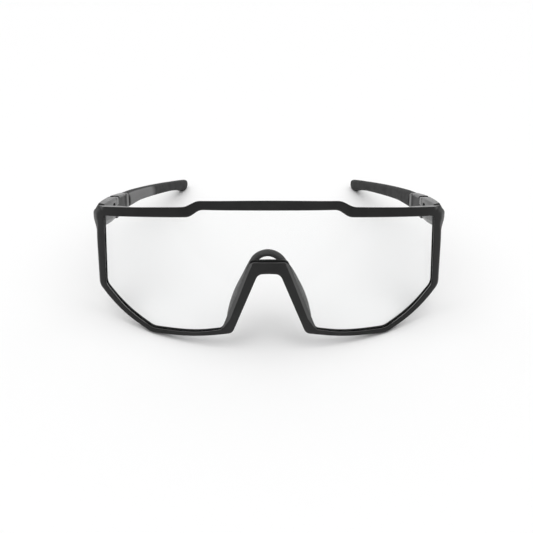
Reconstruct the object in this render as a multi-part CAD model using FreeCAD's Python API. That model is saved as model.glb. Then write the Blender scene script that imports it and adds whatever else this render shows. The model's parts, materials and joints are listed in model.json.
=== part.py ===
import FreeCAD, Part
import math
import os

# Wraparound sport sunglasses: a full-rim front with a one-piece shield lens, a rubber nose
# piece on a hard carrier, and two folding temples with rubber sleeves.
#
# The pieces are drawn upright: x is across the face, y runs back along the temples, and z is
# up. The front wraps round a vertical axis at y = WRAP_RADIUS, and its outlines are cut straight
# back along y, as the mould opens. An outline is the right-hand half of the front view, a list
# of (x, z, rounding), where a long rounding bows a side. At the end everything leans back by
# LEAN, as the glasses stand on a table on the lower corners of the rim and the tips of the
# temples, with the origin under the middle of the bounding box.

Vec = FreeCAD.Vector

# Front
WRAP_RADIUS = 98.0
LEAN = 15.0
RIM_DEPTH = 3.0
GROOVE_FRONT = 0.8
LENS_THICKNESS = 1.5
GROOVE_BITE = 1.1
LENS_EDGE_GAP = 0.15
CUTTER_FRONT = -10.0
CUTTER_BACK = 48.0
MOST_ROUNDING = 0.49
SHELL_BOTTOM = -5.0
SHELL_HEIGHT = 75.0

RIM_OUTLINE = [
    (0.0, 59.85, 20.0),
    (27.6, 59.0, 1.5),
    (32.5, 56.4, 1.5),
    (51.4, 55.05, 15.0),
    (71.9, 52.9, 1.1),
    (74.65, 50.2, 1.0),
    (74.6, 47.0, 1.0),
    (73.0, 42.9, 1.2),
    (72.6, 19.0, 2.0),
    (60.6, 9.9, 12.0),
    (47.9, 3.9, 1.8),
    (29.5, 4.6, 8.0),
    (14.4, 7.1, 1.7),
    (4.3, 31.05, 2.0),
    (0.0, 31.25, 1.0),
]
OPENING_OUTLINE = [
    (0.0, 55.95, 20.0),
    (26.5, 55.55, 1.5),
    (30.9, 52.5, 1.5),
    (49.5, 51.3, 15.0),
    (68.5, 49.5, 1.6),
    (69.0, 20.3, 2.0),
    (58.9, 12.2, 12.0),
    (47.2, 6.2, 1.8),
    (29.5, 6.6, 8.0),
    (18.5, 8.6, 1.4),
    (7.2, 36.2, 1.2),
    (0.0, 36.4, 1.0),
]

# Hinges: the right-hand axis, the plastic stack from bottom to top, and the metal in it
HINGE_X = 68.9
HINGE_Y = 51.9
EAR_RADIUS = 2.1
LOWER_EAR = (45.1, 47.2)
KNUCKLE = (47.53, 50.27)
UPPER_EAR = (50.6, 53.9)
WASHER_RADIUS = 1.75
WASHER_THICKNESS = 0.3
SCREW_RADIUS = 0.70
SCREW_HEAD_RADIUS = 1.35
SCREW_HEAD_DEPTH = 0.8
SCREW_SLOT = 0.35
BUSH_BORE_RADIUS = 0.74
BUSH_RADIUS = 1.15
INSERT_RADIUS = 1.25
HINGE_ROOM = 0.45
KNUCKLE_ROOM = 0.2
EAR_ROOT = 1.5
NECK_INSET = 0.6
NECK_ROOT = 0.5
NECK_LENGTH = 4.0
STOP_PLANE = 49.8
STOP_GAP = 0.15

# Temples, right-hand side: (y, outer x, thickness, top z, bottom z) of each section
ARM_SECTIONS = [
    (30.0, 74.6, 5.9, 53.6, 43.7),
    (44.0, 73.6, 6.5, 54.2, 43.9),
    (56.0, 72.4, 5.8, 54.2, 44.9),
    (72.4, 70.9, 5.3, 53.3, 46.0),
]
SLEEVE_SECTIONS = [
    (72.4, 70.9, 5.3, 53.3, 46.0),
    (84.0, 69.5, 4.9, 53.1, 46.2),
    (94.0, 68.1, 4.7, 52.7, 46.5),
    (104.0, 66.4, 4.7, 52.3, 46.4),
    (114.0, 64.3, 4.6, 51.9, 46.2),
    (124.0, 62.1, 4.6, 51.4, 45.9),
    (134.0, 59.6, 4.5, 50.9, 45.6),
    (144.0, 57.0, 4.5, 50.3, 45.1),
    (153.0, 54.7, 4.5, 49.8, 44.1),
    (160.0, 52.8, 4.4, 49.3, 42.9),
    (163.6, 51.5, 3.7, 48.9, 43.9),
    (165.4, 50.4, 2.2, 47.9, 45.2),
]
SLEEVE_WALL = 1.25
TONGUE_END = 9
TOP_CHAMFER = (2.4, 1.4)
OUTER_LOW_CHAMFER = (1.5, 1.1)
INNER_LOW_CHAMFER = (2.4, 1.1)
INNER_TOP_CHAMFER = 0.7
OUTER_RISE = 1.3
INNER_RISE = 1.2
OVAL_POINTS = 16
OVAL_POWER = 0.75
POCKET_DEPTH = 0.9
POCKET_OUTLINE = [(53.0, 47.2), (53.0, 52.8), (67.3, 52.2), (67.3, 47.4)]
POCKET_CUTTER = (60.0, 69.0)

# Blind pin hole in the inner face of each end piece: (y, z, radius, x where it ends)
PIN_HOLE = (44.0, 51.7, 0.8, 68.6)

# Nose piece: (x, z, y, half thickness, half depth) along the right half, from the lower end of
# a wing up to the top of the arch
NOSE_SECTIONS = [
    (15.5, 12.2, 8.4, 1.4, 2.2),
    (14.1, 16.6, 9.2, 1.8, 4.0),
    (12.1, 21.6, 9.6, 2.0, 4.6),
    (9.6, 27.2, 9.0, 1.8, 4.0),
    (7.0, 32.4, 7.9, 1.6, 2.9),
    (4.2, 36.7, 7.0, 1.4, 2.2),
    (0.0, 38.3, 6.7, 1.35, 2.0),
]
NOSE_POINTS = 12
NOSE_CORE_RADIUS = 0.5
NOSE_CORE_SPAN = (1, 4)
CLIP_DEPTH = 1.8
CLIP_OUTLINE = [
    (0.0, 36.1, 1.0),
    (6.4, 35.9, 1.0),
    (8.0, 33.9, 1.2),
    (18.6, 8.0, 0.3),
    (0.0, 8.0, 0.3),
]
CLIP_NOTCH = [
    (0.0, 33.6, 1.0),
    (5.4, 33.2, 1.0),
    (16.2, 7.0, 0.3),
    (0.0, 7.0, 0.3),
]
CLIP_LOW_END = 11.6

# Small flats where the glasses touch the table
FOOT_TRIM = 0.25

# How far cutting tools run past what they cut, and how far the largest ones reach
OVERRUN = 1.0
FAR = 200.0


def full_outline(half):
    """The closed outline of a right-hand half, with its mirror image on the left."""
    left = [(-x, z, rounding) for x, z, rounding in reversed(half) if x > 0.0]
    return half + left


def moved_outline(half, distance):
    """A half outline with every side moved outwards by a distance."""
    points = [(x, z) for x, z, _ in full_outline(half)]
    moved = []
    for i, (_, _, rounding) in enumerate(half):
        before = points[i - 1]
        here = points[i]
        after = points[(i + 1) % len(points)]
        first = math.atan2(here[1] - before[1], here[0] - before[0])
        second = math.atan2(after[1] - here[1], after[0] - here[0])
        middle = (first + second) / 2.0
        if abs(second - first) > math.pi:
            middle += math.pi
        reach = distance / math.cos(middle - first)
        x = here[0] - reach * math.sin(middle)
        z = here[1] + reach * math.cos(middle)
        moved.append((x, z, rounding))
    return moved


def cutter(half):
    """The solid inside an outline, straight back through the front."""
    points = [Vec(x, CUTTER_FRONT, z) for x, z, _ in full_outline(half)]
    roundings = [rounding for _, _, rounding in full_outline(half)]
    count = len(points)
    edges = []
    bends = []
    for i, point in enumerate(points):
        ends = []
        for other in (points[i - 1], points[(i + 1) % count]):
            run = point.distanceToPoint(other)
            part = min(roundings[i] / run, MOST_ROUNDING)
            ends.append(point + (other - point) * part)
        bends.append((ends[0], point, ends[1]))
    for i, (start, point, end) in enumerate(bends):
        bend = Part.BezierCurve()
        bend.setPoles([start, point, end])
        edges.append(bend.toShape())
        edges.append(Part.makeLine(end, bends[(i + 1) % count][0]))
    face = Part.Face(Part.Wire(edges))
    return face.extrude(Vec(0, CUTTER_BACK - CUTTER_FRONT, 0))


def wrap_cylinder(depth):
    """The solid cylinder that lies behind the wrapped surface at a depth."""
    base = Vec(0, WRAP_RADIUS, SHELL_BOTTOM)
    return Part.makeCylinder(WRAP_RADIUS - depth, SHELL_HEIGHT, base)


def wrap_shell(front, back):
    """The wrapped sheet between two depths."""
    return wrap_cylinder(front).cut(wrap_cylinder(back))


def upright(radius, low, high):
    """A cylinder on the right-hand hinge axis."""
    return Part.makeCylinder(radius, high - low, Vec(HINGE_X, HINGE_Y, low))


def block(x_range, y_range, z_range):
    """A box between two corners."""
    size = [high - low for low, high in (x_range, y_range, z_range)]
    return Part.makeBox(*size, Vec(x_range[0], y_range[0], z_range[0]))


def along(pair, y):
    """A chamfer that changes evenly from the front of the arm to its seam."""
    front = ARM_SECTIONS[0][0]
    part = (y - front) / (ARM_SECTIONS[-1][0] - front)
    return pair[0] + (pair[1] - pair[0]) * part


def arm_section(y):
    """The arm's section at a place between the listed ones."""
    for before, after in zip(ARM_SECTIONS, ARM_SECTIONS[1:]):
        if before[0] <= y <= after[0]:
            part = (y - before[0]) / (after[0] - before[0])
            return tuple(a + (b - a) * part for a, b in zip(before, after))


def arm_wire(section):
    """The arm's eight-sided section, flat inside and chamfered outside."""
    y, outer, thickness, top, bottom = section
    inner = outer - thickness
    high = along(TOP_CHAMFER, y)
    low_out = along(OUTER_LOW_CHAMFER, y)
    low_in = along(INNER_LOW_CHAMFER, y)
    corners = [
        (inner, top - INNER_TOP_CHAMFER),
        (inner + INNER_TOP_CHAMFER, top),
        (outer - high, top),
        (outer, top - OUTER_RISE * high),
        (outer, bottom + OUTER_RISE * low_out),
        (outer - low_out, bottom),
        (inner + low_in, bottom),
        (inner, bottom + INNER_RISE * low_in),
    ]
    points = [Vec(x, y, z) for x, z in corners]
    return Part.makePolygon(points + points[:1])


def oval_wire(section, wall=0.0):
    """The sleeve's oval section, or the tongue's one a wall's thickness inside it."""
    y, outer, thickness, top, bottom = section
    centre = (outer - thickness / 2.0, (top + bottom) / 2.0)
    half_width = thickness / 2.0 - wall
    half_height = (top - bottom) / 2.0 - wall
    points = []
    for turn in range(OVAL_POINTS):
        angle = 2.0 * math.pi * turn / OVAL_POINTS
        waves = (math.cos(angle), math.sin(angle))
        flat = [math.copysign(abs(wave) ** OVAL_POWER, wave) for wave in waves]
        points.append(Vec(centre[0] + half_width * flat[0], y, centre[1] + half_height * flat[1]))
    curve = Part.BSplineCurve()
    curve.interpolate(points, PeriodicFlag=True)
    return Part.Wire([curve.toShape()])


def front_frame():
    """The full-rim front, with the lens groove and the hinge ears."""
    rim = wrap_shell(0.0, RIM_DEPTH).common(cutter(RIM_OUTLINE))
    rim = rim.cut(cutter(OPENING_OUTLINE))
    groove = wrap_shell(GROOVE_FRONT, GROOVE_FRONT + LENS_THICKNESS)
    rim = rim.cut(groove.common(cutter(moved_outline(OPENING_OUTLINE, GROOVE_BITE))))
    right = end_block()
    left = right.mirror(Vec(0, 0, 0), Vec(1, 0, 0))
    return rim.fuse([right, left]).removeSplitter()


def end_block():
    """The right-hand end piece and its two hinge ears, bored for the screw and the insert."""
    sections = [section for section in ARM_SECTIONS if section[0] < STOP_PLANE]
    wires = [arm_wire(section) for section in sections + [arm_section(STOP_PLANE)]]
    lens_space = cutter(moved_outline(OPENING_OUTLINE, GROOVE_BITE))
    solid = Part.makeLoft(wires, True, True).common(wrap_cylinder(0.0))
    solid = solid.cut(wrap_shell(0.0, RIM_DEPTH).common(lens_space))
    solid = solid.cut([upright(EAR_RADIUS + KNUCKLE_ROOM, LOWER_EAR[1], UPPER_EAR[0]), pin_hole()])
    ear_width = (HINGE_X - EAR_RADIUS, HINGE_X + EAR_RADIUS)
    for low, high in (LOWER_EAR, UPPER_EAR):
        web = block(ear_width, (STOP_PLANE - EAR_ROOT, HINGE_Y), (low, high))
        solid = solid.fuse([web, upright(EAR_RADIUS, low, high)])
    solid = solid.cut(upright(SCREW_RADIUS, LOWER_EAR[0] - OVERRUN, UPPER_EAR[1] + OVERRUN))
    solid = solid.cut(upright(INSERT_RADIUS, *LOWER_EAR))
    return solid.cut(upright(SCREW_HEAD_RADIUS, UPPER_EAR[1] - SCREW_HEAD_DEPTH, UPPER_EAR[1]))


def shield_lens():
    """The one-piece lens, held in the rim's groove all round."""
    sheet = wrap_shell(GROOVE_FRONT, GROOVE_FRONT + LENS_THICKNESS)
    return sheet.common(cutter(moved_outline(OPENING_OUTLINE, GROOVE_BITE - LENS_EDGE_GAP)))


def nose_clip():
    """The hard carrier behind the bridge, which holds the rubber nose piece."""
    sheet = wrap_shell(RIM_DEPTH, RIM_DEPTH + CLIP_DEPTH)
    solid = sheet.common(cutter(CLIP_OUTLINE)).cut(cutter(CLIP_NOTCH))
    return solid.cut(block((-FAR, FAR), (-FAR, FAR), (SHELL_BOTTOM, CLIP_LOW_END)))


def nose_ring(index, scale_to=None):
    """One section of the nose piece, square to its run, or of the core inside it."""
    half = NOSE_SECTIONS
    full = half + [(-x, z, y, a, b) for x, z, y, a, b in reversed(half[:-1])]
    x, z, y, half_thick, half_deep = full[index]
    centre = Vec(x, y, z)
    before = full[max(index - 1, 0)]
    after = full[min(index + 1, len(full) - 1)]
    run = Vec(after[0] - before[0], 0, after[1] - before[1])
    run.normalize()
    across = run.cross(Vec(0, 1, 0))
    if scale_to:
        half_thick = half_deep = scale_to
    points = []
    for turn in range(NOSE_POINTS):
        angle = 2.0 * math.pi * turn / NOSE_POINTS
        sideways = across * (half_thick * math.cos(angle))
        points.append(centre + sideways + Vec(0, half_deep * math.sin(angle), 0))
    curve = Part.BSplineCurve()
    curve.interpolate(points, PeriodicFlag=True)
    return Part.Wire([curve.toShape()])


def nose_core():
    """The bendable metal core in the right-hand wing."""
    first, last = NOSE_CORE_SPAN
    rings = [nose_ring(index, NOSE_CORE_RADIUS) for index in range(first, last + 1)]
    return Part.makeLoft(rings, True, False)


def nose_pad(clip, cores):
    """The rubber nose piece: two wings joined by an arch."""
    count = 2 * len(NOSE_SECTIONS) - 1
    rings = [nose_ring(index) for index in range(count)]
    solid = Part.makeLoft(rings, True, False)
    keep_out = wrap_cylinder(RIM_DEPTH)
    solid = solid.common(keep_out)
    return solid.cut([clip] + cores)


def temple_arm():
    """The right-hand arm: cheek, hinge knuckle, pocket and the tongue inside the sleeve."""
    wires = [arm_wire(section) for section in ARM_SECTIONS]
    solid = Part.makeLoft(wires, True, True)
    front = block((0.0, FAR), (0.0, STOP_PLANE + STOP_GAP), (0.0, FAR))
    room = HINGE_X + EAR_RADIUS + HINGE_ROOM
    hinge_room = block((0.0, room), (0.0, HINGE_Y + EAR_RADIUS + HINGE_ROOM), (0.0, FAR))
    shifted = solid.translated(Vec(POCKET_DEPTH, 0, 0))
    recess = pocket_prism().cut(shifted)
    solid = solid.cut([front, hinge_room, recess])
    neck_width = (HINGE_X - EAR_RADIUS + NECK_INSET, room + NECK_ROOT)
    neck = block(neck_width, (HINGE_Y, HINGE_Y + NECK_LENGTH), KNUCKLE)
    solid = solid.fuse([upright(EAR_RADIUS, *KNUCKLE), neck])
    tongue = [oval_wire(section, SLEEVE_WALL) for section in SLEEVE_SECTIONS[:TONGUE_END]]
    solid = solid.fuse(Part.makeLoft(tongue, True, True))
    return solid.cut(upright(BUSH_RADIUS, *KNUCKLE))


def pocket_prism():
    """The outline of the recess in the inner face, as a prism through that face."""
    points = [Vec(POCKET_CUTTER[0], y, z) for y, z in POCKET_OUTLINE]
    face = Part.Face(Part.makePolygon(points + points[:1]))
    return face.extrude(Vec(POCKET_CUTTER[1] - POCKET_CUTTER[0], 0, 0))


def pin_hole():
    """The small blind hole in the end piece, in front of the hinge."""
    y, z, radius, end = PIN_HOLE
    start = Vec(POCKET_CUTTER[0], y, z)
    return Part.makeCylinder(radius, end - POCKET_CUTTER[0], start, Vec(1, 0, 0))


def temple_sleeve(arm):
    """The soft sleeve over the tongue, with a rounded tip that dips to the table."""
    wires = [oval_wire(section) for section in SLEEVE_SECTIONS]
    return Part.makeLoft(wires, True, True).cut(arm)


def washer(low):
    """A hinge washer, before its bore, from its lower face."""
    return upright(WASHER_RADIUS, low, low + WASHER_THICKNESS)


def hinge_parts():
    """The metal and nylon in the right-hand hinge, by name."""
    screw = upright(SCREW_RADIUS, LOWER_EAR[0], UPPER_EAR[1] - SCREW_HEAD_DEPTH)
    head = upright(SCREW_HEAD_RADIUS, UPPER_EAR[1] - SCREW_HEAD_DEPTH, UPPER_EAR[1])
    slot = block(
        (HINGE_X - SCREW_HEAD_RADIUS - OVERRUN, HINGE_X + SCREW_HEAD_RADIUS + OVERRUN),
        (HINGE_Y - SCREW_SLOT / 2.0, HINGE_Y + SCREW_SLOT / 2.0),
        (UPPER_EAR[1] - SCREW_SLOT, UPPER_EAR[1] + OVERRUN),
    )
    bore = upright(SCREW_RADIUS, LOWER_EAR[0] - OVERRUN, UPPER_EAR[1] + OVERRUN)
    bush_bore = upright(BUSH_BORE_RADIUS, *KNUCKLE)
    return {
        "hinge_screw": screw.fuse(head).removeSplitter().cut(slot),
        "hinge_insert": upright(INSERT_RADIUS, *LOWER_EAR).cut(bore),
        "hinge_bush": upright(BUSH_RADIUS, *KNUCKLE).cut(bush_bore),
        "washer_lower": washer(LOWER_EAR[1]).cut(bore),
        "washer_upper": washer(UPPER_EAR[0] - WASHER_THICKNESS).cut(bore),
    }


def all_parts():
    """Every piece by node name, upright."""
    mirror = (Vec(0, 0, 0), Vec(1, 0, 0))
    clip = nose_clip()
    core = nose_core()
    parts = {
        "front_frame": front_frame(),
        "shield_lens": shield_lens(),
        "nose_clip": clip,
        "nose_pad": nose_pad(clip, [core, core.mirror(*mirror)]),
    }
    arm = temple_arm()
    sides = {"nose_core": core, "temple_arm": arm, "temple_sleeve": temple_sleeve(arm)}
    sides.update(hinge_parts())
    for name, shape in sides.items():
        parts["right_" + name] = shape
        parts["left_" + name] = shape.mirror(*mirror)
    return parts


def stand_on_table(parts):
    """Lean every piece back, trim the feet flat and set the origin under the middle."""
    for shape in parts.values():
        shape.rotate(Vec(0, 0, 0), Vec(1, 0, 0), -LEAN)
    box = Part.makeCompound(list(parts.values())).optimalBoundingBox()
    floor = block((-FAR, FAR), (-FAR, FAR), (box.ZMin + FOOT_TRIM - FAR, box.ZMin + FOOT_TRIM))
    middle = (box.YMin + box.YMax) / 2.0
    for name in ("front_frame", "left_temple_sleeve", "right_temple_sleeve"):
        parts[name] = parts[name].cut(floor)
    for shape in parts.values():
        shape.translate(Vec(0, -middle, -box.ZMin - FOOT_TRIM))
    return middle, box.ZMin + FOOT_TRIM


def main():
    os.makedirs("parts", exist_ok=True)
    parts = all_parts()
    shift = stand_on_table(parts)
    print("origin shift y %.4f z %.4f" % shift)
    for name, shape in parts.items():
        box = shape.optimalBoundingBox()
        print(name, "solids", len(shape.Solids), "valid", shape.isValid())
        print("    x %.2f %.2f" % (box.XMin, box.XMax))
        print("    y %.2f %.2f" % (box.YMin, box.YMax))
        print("    z %.2f %.2f" % (box.ZMin, box.ZMax))
        shape.exportStep("parts/" + name + ".step")


main()
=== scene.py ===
import json
import math

import bmesh
import bpy
import numpy as np
from mathutils import Matrix, Vector


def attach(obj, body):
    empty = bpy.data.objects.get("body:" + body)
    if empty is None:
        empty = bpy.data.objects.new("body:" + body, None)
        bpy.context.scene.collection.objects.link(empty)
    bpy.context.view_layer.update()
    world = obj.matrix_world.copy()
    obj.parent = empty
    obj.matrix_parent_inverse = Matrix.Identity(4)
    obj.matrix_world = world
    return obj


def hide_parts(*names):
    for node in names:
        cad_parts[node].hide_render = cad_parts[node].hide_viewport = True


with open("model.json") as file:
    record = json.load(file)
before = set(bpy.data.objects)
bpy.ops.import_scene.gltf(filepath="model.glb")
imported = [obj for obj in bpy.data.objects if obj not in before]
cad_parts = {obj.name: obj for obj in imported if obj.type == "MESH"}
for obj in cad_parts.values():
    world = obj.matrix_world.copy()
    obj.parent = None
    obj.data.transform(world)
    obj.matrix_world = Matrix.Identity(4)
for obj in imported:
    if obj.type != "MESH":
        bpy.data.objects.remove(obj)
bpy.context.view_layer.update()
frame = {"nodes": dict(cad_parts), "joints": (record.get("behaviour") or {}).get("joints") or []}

# Wraparound sport sunglasses: a moulded full-rim front round a clear shield lens, a rubber nose
# piece on its carrier, and two folding arms with rubber sleeves. The hinge metal is the CAD's.
#
# The new pieces are drawn upright in millimetres, as in part.py: x is across the face, y runs
# back along the temples and z is up. place() leans them back and puts them in the shared frame.
# Right-hand shapes are mirrored for the left.

MM = 0.001

# Front: outlines of the right half as (x, z, rounding), from the top middle to the bottom middle.
# They are laid on a sheet that wraps round the face.
WRAP_RADIUS = 98.0
RIM_DEPTH = 3.0
GROOVE_FRONT = 0.8
GROOVE_BACK = 2.3
GROOVE_BITE = 1.1
LENS_BITE = 0.95
LENS_ROOM = 0.02
LENS_EDGE = 0.01
LENS_COLUMNS = 90
LENS_ROWS = 24
STOP_PLANE = 49.8
MOST_ROUNDING = 0.49
RIM_OUTLINE = [
    (0.0, 59.85, 20.0),
    (27.6, 59.0, 1.5),
    (32.5, 56.4, 1.5),
    (51.4, 55.05, 15.0),
    (71.9, 52.9, 1.1),
    (74.65, 50.2, 1.0),
    (74.6, 47.0, 1.0),
    (73.0, 42.9, 1.2),
    (72.6, 19.0, 2.0),
    (60.6, 9.9, 12.0),
    (47.9, 3.9, 1.8),
    (29.5, 4.6, 8.0),
    (14.4, 7.1, 1.7),
    (4.3, 31.05, 2.0),
    (0.0, 31.25, 1.0),
]
OPENING_OUTLINE = [
    (0.0, 55.95, 20.0),
    (26.5, 55.55, 1.5),
    (30.9, 52.5, 1.5),
    (49.5, 51.3, 15.0),
    (68.5, 49.5, 1.6),
    (69.0, 20.3, 2.0),
    (58.9, 12.2, 12.0),
    (47.2, 6.2, 1.8),
    (29.5, 6.6, 8.0),
    (18.5, 8.6, 1.4),
    (7.2, 36.2, 1.2),
    (0.0, 36.4, 1.0),
]
# Each opening corner faces this run of rim corners, first and last
FACING_CORNERS = [
    (0, 0), (1, 1), (2, 2), (3, 3), (4, 7), (8, 8), (9, 9), (10, 10), (11, 11), (12, 12),
    (13, 13), (14, 14),
]
CORNER_STEPS = 8
SIDE_STEPS = 7

# The rim's section: steps along each part of it, and (width, depth) of the bevels in front
EDGE_STEPS = 3
FACE_STEPS = 6
BACK_EDGE_STEPS = 3
WALL_STEPS = 3
EDGE_ROUNDING = 0.26
LEG_BEVEL = (1.4, 0.68)
SIDE_BEVEL = (0.8, 0.5)
END_BEVEL = (2.3, 1.3)
BRIDGE_LIP_DROP = 0.6
LOW_LIP_DROP = 0.45
BROW_SLOPE = 0.3
GROOVE_LIP = 0.07

# The most of the rim's width that its outer, inner and rear edges may take
OUTER_SHARE = 0.55
INNER_SHARE = 0.4
BACK_SHARE = 0.2

# Between which two places a shape of the rim begins or ends, in x or in z
LEG_REACH = 20.0
LEG_FOOT = (8.8, 12.0)
LEG_TOP = (35.0, 36.35)
SIDE_START = (68.0, 71.5)
END_START = (38.0, 47.0)
BRIDGE_FOOT = (34.5, 36.0)
BRIDGE_TOP = (40.0, 45.0)
BRIDGE_SIDE = (8.0, 10.0)
LOW_TOP = (11.0, 19.0)
LOW_SIDE = (18.2, 19.5)
BROW_FOOT = (48.0, 53.5)
BROW_SIDE = (52.0, 62.0)

# End pieces, behind the corners of the rim
BLOCK_OVERLAP = 0.1
BLOCK_PLACES = (40.0, 44.0, 47.0, STOP_PLANE)
BLOCK_BEVEL = 0.35

# Hinges, right-hand side: the axis, and the heights of the ears and the knuckle
HINGE = (68.9, 51.9, 48.7)
EAR_RADIUS = 2.1
EAR_CHAMFER = 0.15
EAR_SIDES = 24
DISC_SIDES = 48
LOWER_EAR = (45.1, 47.2)
KNUCKLE = (47.53, 50.27)
UPPER_EAR = (50.6, 53.9)
SCREW_HEAD_RADIUS = 1.37
SCREW_HEAD_DEPTH = 0.8
INSERT_RADIUS = 1.27
BUSH_RADIUS = 1.15
KNUCKLE_CHAMFER = 0.1
KNUCKLE_ROOM = 0.2
HINGE_ROOM = 0.1
EAR_ROOT = 1.5
NECK_INSET = 0.6
NECK_ROOT = 0.5
NECK_LENGTH = 4.0
NECK_TRIM = 0.01

# How far the shapes that cut the hinge's room and bores go, past what they cut
ROOM_INNER = 60.0
ROOM_FRONT = 40.0
ROOM_HEIGHTS = (40.0, 60.0)
HEAD_PAST = 1.0
INSERT_PAST = (1.0, 0.1)
BORE_PAST = 0.5

# Temples, right-hand side: (y, outer x, thickness, top z, bottom z)
ARM_SECTIONS = [
    (30.0, 74.6, 5.9, 53.6, 43.7),
    (44.0, 73.6, 6.5, 54.2, 43.9),
    (56.0, 72.4, 5.8, 54.2, 44.9),
    (72.4, 70.9, 5.3, 53.3, 46.0),
]
SLEEVE_SECTIONS = [
    (72.4, 70.9, 5.3, 53.3, 46.0),
    (84.0, 69.5, 4.9, 53.1, 46.2),
    (94.0, 68.1, 4.7, 52.7, 46.5),
    (104.0, 66.4, 4.7, 52.3, 46.4),
    (114.0, 64.3, 4.6, 51.9, 46.2),
    (124.0, 62.1, 4.6, 51.4, 45.9),
    (134.0, 59.6, 4.5, 50.9, 45.6),
    (144.0, 57.0, 4.5, 50.3, 45.1),
    (153.0, 54.7, 4.5, 49.8, 44.1),
    (160.0, 52.8, 4.4, 49.3, 42.9),
    (163.6, 51.5, 3.7, 48.9, 43.9),
    (165.4, 50.4, 2.2, 47.9, 45.2),
]
ARM_FRONT = 49.95
ARM_PLACES = (ARM_FRONT, 52.0, 54.0, 56.0, 58.5, 61.0, 63.5, 66.0, 68.5)
ARM_BEVEL = 0.4

# Where the arm narrows to enter the sleeve
SEAM_NECK = 1.5
SEAM_STEP = 0.4
SEAM_SHOULDER = 0.05
SEAM_PAST = 0.5

# The arm's chamfers at the end of the front and at the seam, and how steep they stand
TOP_CHAMFER = (2.4, 1.4)
OUTER_LOW_CHAMFER = (1.5, 1.1)
INNER_LOW_CHAMFER = (2.4, 1.1)
INNER_TOP_CHAMFER = 0.7
OUTER_SLOPE = 1.3
INNER_SLOPE = 1.2

# The recess in the arm's inner face: its outline as (y, z), and its walls as (depth, inset)
POCKET_DEPTH = 0.5
POCKET_OUTLINE = [(53.0, 47.2), (53.0, 53.3), (67.3, 52.9), (67.3, 47.4)]
POCKET_CORNER = 0.7
POCKET_CORNER_STEPS = 5
POCKET_WALL = [(-1.5, -0.5), (0.0, 0.0), (POCKET_DEPTH - 0.1, 0.45), (POCKET_DEPTH, 0.75)]
POCKET_RAMP = 2.5

# The hole in the end piece's inner face, its wall as (depth, half height)
PIN_Y = 44.0
PIN_Z = 51.7
PIN_STRETCH = 0.9
PIN_RADIUS = 0.8
PIN_WALL = [(-1.0, 2.0), (0.2, PIN_RADIUS), (1.5, PIN_RADIUS)]
PIN_SIDES = 32

# The sleeve: its rounded lip as (how far back, scale). A lower power is a squarer section.
SLEEVE_GAP = 0.15
SLEEVE_LIP = [(0.0, 0.55), (0.0, 0.9), (0.08, 0.97), (0.3, 1.0)]
SLEEVE_TIP_SCALE = 0.6
SLEEVE_POWER = 0.75
SLEEVE_SIDES = 40
SLEEVE_STEPS = 64

# Nose piece: (x, z, y, half thickness, half depth) from the end of a wing to the top of the arch
NOSE_SECTIONS = [
    (15.5, 12.2, 8.4, 1.4, 2.2),
    (14.1, 16.6, 9.2, 1.8, 4.0),
    (12.1, 21.6, 9.6, 2.0, 4.6),
    (9.6, 27.2, 9.0, 1.8, 4.0),
    (7.0, 32.4, 7.9, 1.6, 2.9),
    (4.2, 36.7, 7.0, 1.4, 2.2),
    (0.0, 38.3, 6.7, 1.35, 2.0),
]
NOSE_STEPS = 6
NOSE_SIDES = 28
NOSE_POWER = 0.85
NOSE_ROOM = 0.03
WING_END_SCALES = [0.35, 0.72, 0.93, 1.0]
WING_END_REACH = 0.9
ARCH_SHIFT = 0.5
ARCH_RISE = (28.0, 37.0)

# Mesh clean-up, rounding and shading: angles in degrees
WELD_METRES = 1e-7
BEVEL_SEGMENTS = 3
BEVEL_ANGLE = 20.0
SHARP_ANGLE = 40.0
ROUND_SHARP_ANGLE = 60.0
NOSE_SHARP_ANGLE = 70.0
NORMAL_WEIGHT = 80
KEPT_FLAT_ANGLE = 1.0
KEPT_BEVEL_SEGMENTS = 2
KEPT_BEVEL_ANGLE = 40.0

# Which faces get another material, by their centre in millimetres and their normal: painted
# highlights on the leg bevels and on the tops and insides near the ends, glossier inner and upper
# arm faces, and a rougher recess
LEG_HEIGHTS = (9.0, 35.6)
LEG_OUTWARDS = 0.3
LEG_FORWARDS = -0.6
TOP_FACING = 0.45
TOP_REACH = 50.0
TOP_FORWARDS = -0.35
END_REACH = 66.0
END_PIECE_FRONT = 34.0
END_PIECE_FOOT = 42.0
INSIDE_FACING = 0.35
UPPER_FACING = 0.5
REAR_FACING = 0.5
RECESS_HEIGHTS = (47.1, 53.4)
RECESS_DEPTHS = (0.03, POCKET_DEPTH + 0.1)
RECESS_FACING = 0.2

# Textures: cells to a metre (for the grain, when it is 1 mm), and the noise's usual range
CLOUD_SCALE = 90.0
PATCH_SCALE = 260.0
LENS_PATCH_SCALE = 140.0
GRAIN_SCALE = 1000.0
GRAIN_RELIEF = 0.1
NOISE_RANGE = (0.35, 0.65)

# The paler panel on the left sleeve: where it fades in and out along y and x, in metres
PANEL_START = (-0.0035, -0.0015)
PANEL_END = (0.031, 0.037)
PANEL_SIDE = (-0.01, 0.0)
PANEL_FACING = (0.55, 0.8)
PANEL_GREY = 0.19

# The nose wings are painted paler than the arch, a painted highlight where their sides catch the
# light: between which heights the grey changes, in metres
WING_HIGHLIGHT_GREY = 0.14
WING_HIGHLIGHT_FADE = (0.033, 0.027)

# The front's gloss in the middle and at its ends, and where it fades along x, in metres
FRONT_GLOSS = (0.42, 0.1)
GLOSS_FADE = (0.02, 0.07)

# The lens: what passes straight through, and its reflection seen square on and at a slant
LENS_CLEAR = (0.995, 0.997, 0.997, 1.0)
LENS_ROUGH = (0.01, 0.05)
LENS_GLOSS = 0.012
LENS_SLANT_GLOSS = 0.9
LENS_SLANT_POWER = 5.0

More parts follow.
